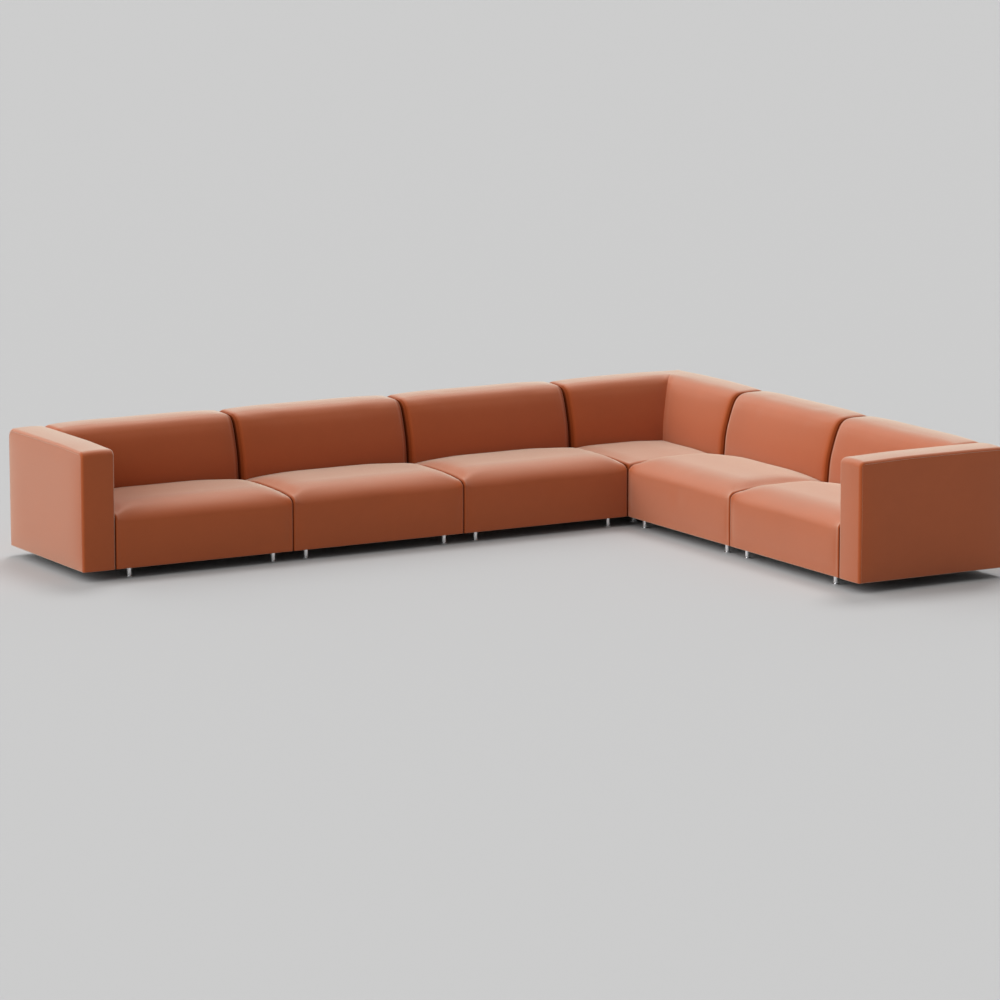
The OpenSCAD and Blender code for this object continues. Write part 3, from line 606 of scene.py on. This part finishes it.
WEBBING = plain("webbing", (0.10, 0.10, 0.10), 0.85, 0.0, 500, 0.2)
DUST = plain("dust_cloth", (0.02, 0.02, 0.022), 0.95, 0.0, 700, 0.2)

BY_SLOT = {"leather": LEATHER, "chrome": CHROME, "zinc_steel": ZINC, "timber": TIMBER, "foam": FOAM, "webbing": WEBBING, "dust_cloth": DUST}
for name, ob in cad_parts.items():
    if name.startswith("foot_") and name != "foot_inserts":
        mat = CHROME
    elif "cover" in name and name != "dust_covers":
        mat = LEATHER
    elif name == "dust_covers":
        mat = DUST
    elif name.endswith("_foams"):
        mat = FOAM
    elif name == "webbing_straps":
        mat = WEBBING
    elif "frame" in name and name != "frame_bolts":
        mat = TIMBER
    else:
        mat = ZINC
    ob.data.materials.clear()
    ob.data.materials.append(mat)

# ---------------------------------------------------------------- the leather under tension
def vertex_normals(co, quads):
    n = np.zeros_like(co)
    a, b, c, d = (co[quads[:, i]] for i in range(4))
    f = np.cross(c - a, d - b)
    for i in range(4):
        np.add.at(n, quads[:, i], f)
    return n / np.maximum(np.linalg.norm(n, axis=1), 1e-9)[:, None]


def evened(move, quads, times):
    """Averages each point's movement with its neighbours', so that broad forms stay and fine creases go."""
    pairs = np.unique(np.sort(np.vstack([quads[:, [0, 1]], quads[:, [1, 2]], quads[:, [2, 3]], quads[:, [3, 0]]]), axis=1), axis=0)
    count = np.bincount(pairs.ravel(), minlength=len(move)).astype(float)[:, None]
    for _ in range(times):
        total = np.zeros_like(move)
        np.add.at(total, pairs[:, 0], move[pairs[:, 1]])
        np.add.at(total, pairs[:, 1], move[pairs[:, 0]])
        move = 0.4 * move + 0.6 * total / np.maximum(count, 1)
    return move


def tension(blk, held, start, cap, slack, pressure=4.0):
    """Lets the cover's leather settle over its stuffing: a cloth simulation, held where held is 1, from a shape that is
    start mm smaller where it is free. No point ends more than cap mm from there."""
    out = Block()
    out.__dict__.update(blk.__dict__)
    free = 1 - held
    begin = blk.co - vertex_normals(blk.co, blk.quads) * (start * free)[:, None]
    me = bpy.data.meshes.new("tension")
    me.from_pydata((begin / 1000).tolist(), [], blk.quads.tolist())
    me.update()
    ob = bpy.data.objects.new("tension", me)
    SCN.collection.objects.link(ob)
    vg = ob.vertex_groups.new(name="held")
    for level in range(1, 11):
        pick = np.where(np.round(held * 10).astype(int) == level)[0]
        if len(pick):
            vg.add(pick.tolist(), level / 10.0, "REPLACE")
    md = ob.modifiers.new("cloth", "CLOTH")
    c = md.settings
    c.quality = 4
    c.mass = 0.4
    c.tension_stiffness = c.compression_stiffness = 18
    c.shear_stiffness = 6
    c.bending_stiffness = 1.5
    c.air_damping = 2.0
    c.use_pressure = True
    c.uniform_pressure_force = pressure
    c.shrink_min = -slack
    c.vertex_group_mass = "held"
    c.effector_weights.gravity = 0
    md.collision_settings.use_collision = False
    md.point_cache.frame_start, md.point_cache.frame_end = 1, 20
    for f in range(1, 21):
        SCN.frame_set(f)
    ev = ob.evaluated_get(bpy.context.evaluated_depsgraph_get())
    m2 = ev.to_mesh()
    co = np.zeros(len(m2.vertices) * 3)
    m2.vertices.foreach_get("co", co)
    ev.to_mesh_clear()
    SCN.frame_set(1)
    bpy.data.objects.remove(ob)
    bpy.data.meshes.remove(me)
    move = co.reshape(-1, 3) * 1000 - begin
    size = np.linalg.norm(move, axis=1)
    move *= (cap * np.tanh(size / cap) / np.maximum(size, 1e-9))[:, None]
    out.co = begin + evened(move * free[:, None], blk.quads, 9)
    out.moved = (float(size.mean()), float(size.max()))
    return out


def held_seat(blk, u0, u1, v1):
    u, v, z = blk.co.T
    side = np.maximum(smooth(np.minimum(u - u0, u1 - u), 26, 8), smooth(v, v1 - 50, v1 - 16))
    return np.clip(np.maximum(side, smooth(z, 110, 66)), 0, 1)


def held_back(blk, u0, u1, corner=False):
    u, v, z = blk.co.T
    side = smooth(u - u0, 34, 10)
    if corner:
        side = np.maximum(side, smooth(v - u0, 34, 10))
        deep = np.maximum(u, v)
        fold = smooth(np.abs(u - v), 40, 6)
        side = np.maximum(side, fold)
        rear = smooth(deep, 860, 915)
    else:
        side = np.maximum(side, smooth(u1 - u, 34, 10))
        rear = smooth(v, 860, 915)
    return np.clip(np.maximum(np.maximum(side, rear), smooth(z, 390, 340)), 0, 1)


# ---------------------------------------------------------------- the upholstery
SEAT, SEAT_C, BACKB, BACK_C, ARM = straight_seat(), corner_seat(), straight_back(), corner_back(), arm()
SEAT_2, BACK_2 = SEAT, BACKB
import time
t0 = time.time()
flat = SEAT
SEAT = tension(flat, held_seat(flat, 1, 1049, 600), 3.0, 5.0, 0.004)
SEAT_2 = tension(flat, held_seat(flat, 1, 1049, 600), 2.6, 5.0, 0.009, 5.0)
SEAT_C = tension(SEAT_C, held_seat(SEAT_C, 1, 592, 592), 2.0, 3.5, 0.004)
flat = BACKB
BACKB = tension(flat, held_back(flat, 1, 1049), 3.0, 5.0, 0.004)
BACK_2 = tension(flat, held_back(flat, 1, 1049), 2.6, 5.0, 0.008, 5.0)
BACK_C = tension(BACK_C, held_back(BACK_C, 1, 930, True), 2.0, 3.5, 0.004)
print("tension", round(time.time() - t0, 1), SEAT.moved, SEAT_2.moved, SEAT_C.moved, BACKB.moved, BACK_2.moved, BACK_C.moved)


def mirrored(blk, width=1050.0):
    """The same form with left and right swapped, so that no two neighbours are alike."""
    out = Block()
    out.__dict__.update(blk.__dict__)
    out.co = blk.co * [-1, 1, 1] + [width, 0, 0]
    out.quads = blk.quads[:, ::-1]
    return out


SEAT_M, BACK_M = mirrored(SEAT_2), mirrored(BACK_2)
PIECES = [
    ("seat_l1", SEAT, at_long(0), ["seat_cover_l1", "seat_foams"]), ("seat_l2", SEAT_M, at_long(1), ["seat_cover_l2"]), ("seat_l3", SEAT_2, at_long(2), ["seat_cover_l3"]),
    ("seat_corner", SEAT_C, at_corner, ["seat_cover_corner"]),
    ("seat_r1", SEAT_M, at_short(0), ["seat_cover_r1"]), ("seat_r2", SEAT, at_short(1), ["seat_cover_r2"]),
    ("back_l1", BACKB, at_long(0), ["back_cover_l1", "back_foams"]), ("back_l2", BACK_M, at_long(1), ["back_cover_l2"]), ("back_l3", BACK_2, at_long(2), ["back_cover_l3"]),
    ("back_corner", BACK_C, at_corner, ["back_cover_corner_left", "back_cover_corner_right"]),
    ("back_r1", BACK_M, at_short_back(0), ["back_cover_r1"]), ("back_r2", BACKB, at_short_back(1), ["back_cover_r2"]),
    ("arm_left", ARM, arm_left, ["arm_cover_left", "arm_foams"]), ("arm_right", ARM, arm_right, ["arm_cover_right"]),
]


def welt(name, paths, radius, material):
    """Thin rolled seams: a small tube along each path of points (metres)."""
    verts, quads, n = [], [], 0
    k = 6
    for path in paths:
        p = np.asarray(path, float)
        t = np.gradient(p, axis=0)
        t /= np.maximum(np.linalg.norm(t, axis=1), 1e-12)[:, None]
        ref = np.array([0.31, 0.17, 0.93])
        a = np.cross(t, ref)
        a /= np.maximum(np.linalg.norm(a, axis=1), 1e-9)[:, None]
        b = np.cross(t, a)
        for j in range(k):
            w = 2 * math.pi * j / k
            verts.append(p + radius * (math.cos(w) * a + math.sin(w) * b))
        m = len(p)
        ids = np.arange(n, n + k * m).reshape(k, m)
        for j in range(k):
            for i in range(m - 1):
                quads.append((ids[j, i], ids[j, i + 1], ids[(j + 1) % k, i + 1], ids[(j + 1) % k, i]))
        quads.append(tuple(ids[::-1, 0]))
        quads.append(tuple(ids[:, m - 1]))
        n += k * m
    me = bpy.data.meshes.new(name)
    me.from_pydata(np.vstack(verts).tolist(), [], [tuple(int(x) for x in q) for q in quads])
    me.update()
    bm = bmesh.new()
    bm.from_mesh(me)
    bmesh.ops.recalc_face_normals(bm, faces=bm.faces)
    bm.to_mesh(me)
    bm.free()
    me.polygons.foreach_set("use_smooth", [True] * len(me.polygons))
    ob = bpy.data.objects.new(name, me)
    SCN.collection.objects.link(ob)
    ob.data.materials.append(material)
    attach(ob, "sofa")
    return ob


def resampled(p, step):
    """Points along a polyline, step mm apart, on a smooth curve through its points."""
    d = np.concatenate([[0], np.cumsum(np.linalg.norm(np.diff(p, axis=0), axis=1))])
    keep = np.concatenate([[True], np.diff(d) > 1e-6])
    p, d = p[keep], d[keep]
    x = np.linspace(0, d[-1], max(3, int(d[-1] / step) + 1))
    return np.column_stack([fit(x, list(zip(d, p[:, i]))) for i in range(3)])


def seam_paths(blk, kind, n_roll):
    """Where a cover's panels are sewn: round both side panels, and across the rear panel of a back."""
    paths = []
    rows = [n_roll // 2] if kind == "corner_back" else [n_roll // 2, blk.S - 1 - n_roll // 2]
    for s in rows:
        ring = blk.co[blk.idx[s]]
        ring = np.vstack([ring, ring[:1]])
        top = ring[:2 * blk.nf + blk.nt]
        paths.append(top[top[:, 2] > HEM + 6])
    if kind in ("back", "corner_back"):
        i = blk.nf + blk.nt + 6
        paths.append(blk.co[blk.idx[n_roll // 2 + 1: blk.S - (0 if kind == "corner_back" else n_roll // 2 + 1), i]])
    if kind == "corner_back":
        paths += [q[:, [1, 0, 2]] for q in list(paths)]
    return [resampled(q, 12.0) for q in paths]


def gloss_and_painted_shade_of(blk, corner, n_roll):
    """For each face, which of LEATHERS it has: by how far round the rolled edge it lies, which sets its gloss and how
    much painted shade darkens it.
    """
    rows = np.arange((blk.S - 1) * blk.M) // blk.M
    steps = rows if corner else np.minimum(rows, blk.S - 2 - rows)
    f = (steps + 0.5) / n_roll
    kind = np.where(f < 0.45, 3, np.where(f < 0.68, 2, np.where(f < 0.88, 1, 0)))
    if corner:
        half = len(blk.quads) // 2
        one = np.concatenate([kind, np.full(half - len(rows), 3)])
        return np.concatenate([one, one])
    return np.concatenate([kind, np.full(len(blk.quads) - len(rows), 3)])


made = {}
for name, blk, place, cad in PIECES:
    ob = make_mesh(name, blk, place)
    for m in LEATHERS[:1] if name.startswith("arm") else LEATHERS:
        ob.data.materials.append(m)
    if not name.startswith("arm"):
        finish = gloss_and_painted_shade_of(blk, name == "back_corner", 5 if name.startswith("seat") else 7)
        # the outer halves of back_l1 and back_r2 get no painted shade: they take leather_terracotta_end, with half the
        # gloss
        if name in ("back_l1", "back_r2"):  # their outer ends show above the arms
            at = np.empty(3 * len(finish))
            ob.data.polygons.foreach_get("center", at)
            along = at[0::3] if name == "back_l1" else at[1::3]
            finish[(finish > 0) & (along < (along.min() + along.max()) / 2)] = 4
        ob.data.polygons.foreach_set("material_index", finish.astype(np.int32))
    sub = ob.modifiers.new("subdivision", "SUBSURF")
    sub.levels = sub.render_levels = 1
    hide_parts(*cad)
    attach(ob, "sofa")
    made[name] = ob
    kind = "corner_back" if name == "back_corner" else name.split("_")[0]
    paths = [place(q) for q in seam_paths(blk, kind, {"seat": 5, "back": 7, "corner_back": 7, "arm": 7}[kind])]
    if not name.startswith("arm"):
        welt(name + "_seams", paths, 0.0008, SEAM)


# ---------------------------------------------------------------- floor and light
def floor():
    me = bpy.data.meshes.new("floor")
    n, r = 96, 260.0
    vs = [(0, 0, 0)] + [(r * math.cos(2 * math.pi * i / n), r * math.sin(2 * math.pi * i / n), 0) for i in range(n)]
    me.from_pydata(vs, [], [(0, i + 1, (i + 1) % n + 1) for i in range(n)])
    ob = bpy.data.objects.new("floor", me)
    SCN.collection.objects.link(ob)
    m, nt, p = new_material("floor_pale")
    p.inputs["Base Color"].default_value = (0.475, 0.475, 0.475, 1)
    p.inputs["Roughness"].default_value = 0.8
    p.inputs["Specular IOR Level"].default_value = 0.1
    me.materials.append(m)
    return ob


floor()
world = bpy.data.worlds.new("world")
SCN.world = world
world.use_nodes = True
wn = world.node_tree
wtc = wn.nodes.new("ShaderNodeTexCoord")


def world_range(source, lo, hi):
    n = wn.nodes.new("ShaderNodeMapRange")
    n.interpolation_type = "SMOOTHSTEP"
    n.inputs["From Min"].default_value, n.inputs["From Max"].default_value = lo, hi
    wn.links.new(source, n.inputs["Value"])
    return n.outputs["Result"]


# a wide pale backdrop behind the sofa and to its left, darker studio in front of it and overhead
SIDE, REST, EDGE = 0.82, 0.26, 0.60
wdot = wn.nodes.new("ShaderNodeVectorMath")
wdot.operation = "DOT_PRODUCT"
wdot.inputs[1].default_value = (-0.53, 0.85, 0.0)
wsep = wn.nodes.new("ShaderNodeSeparateXYZ")
wn.links.new(wtc.outputs["Generated"], wdot.inputs[0])
wn.links.new(wtc.outputs["Generated"], wsep.inputs[0])
wmul = wn.nodes.new("ShaderNodeMath")
wmul.operation = "MULTIPLY"
wn.links.new(world_range(wdot.outputs["Value"], -0.45, 0.10), wmul.inputs[0])
wn.links.new(world_range(wsep.outputs["Z"], 0.75, 0.40), wmul.inputs[1])
wmix = wn.nodes.new("ShaderNodeMix")
wmix.data_type = "RGBA"
wn.links.new(wmul.outputs[0], wmix.inputs[0])
wmix.inputs[6].default_value = (REST, REST, REST, 1)
wmix.inputs[7].default_value = (SIDE, SIDE, SIDE, 1)
# close to the horizon it has the floor's own tone, so that the floor runs into it
wlow = wn.nodes.new("ShaderNodeMix")
wlow.data_type = "RGBA"
wn.links.new(world_range(wsep.outputs["Z"], 0.0, 0.12), wlow.inputs[0])
wlow.inputs[6].default_value = (EDGE, EDGE, EDGE, 1)
wn.links.new(wmix.outputs[2], wlow.inputs[7])
wn.links.new(wlow.outputs[2], wn.nodes["Background"].inputs["Color"])
wn.nodes["Background"].inputs["Strength"].default_value = 1.0


def sun(name, toward, strength, angle, color=(1, 1, 1)):
    """A large, far softbox that shines from the direction given."""
    ld = bpy.data.lights.new(name, "SUN")
    ld.energy = strength * math.pi
    ld.angle = math.radians(angle)
    ld.color = color
    ob = bpy.data.objects.new(name, ld)
    SCN.collection.objects.link(ob)
    ob.rotation_euler = (-Vector(toward)).to_track_quat("-Z", "Y").to_euler()
    return ob


sun("key_left", (-0.85, 0.10, 0.50), 0.53, 50)
sun("key_behind", (-0.30, 0.68, 0.65), 0.20, 45)
sun("key_above", (0.32, 0.35, 0.88), 0.42, 22)
sun("fill_front", (-0.20, -0.25, 0.95), 0.12, 50)

SCN.view_settings.view_transform = "Standard"
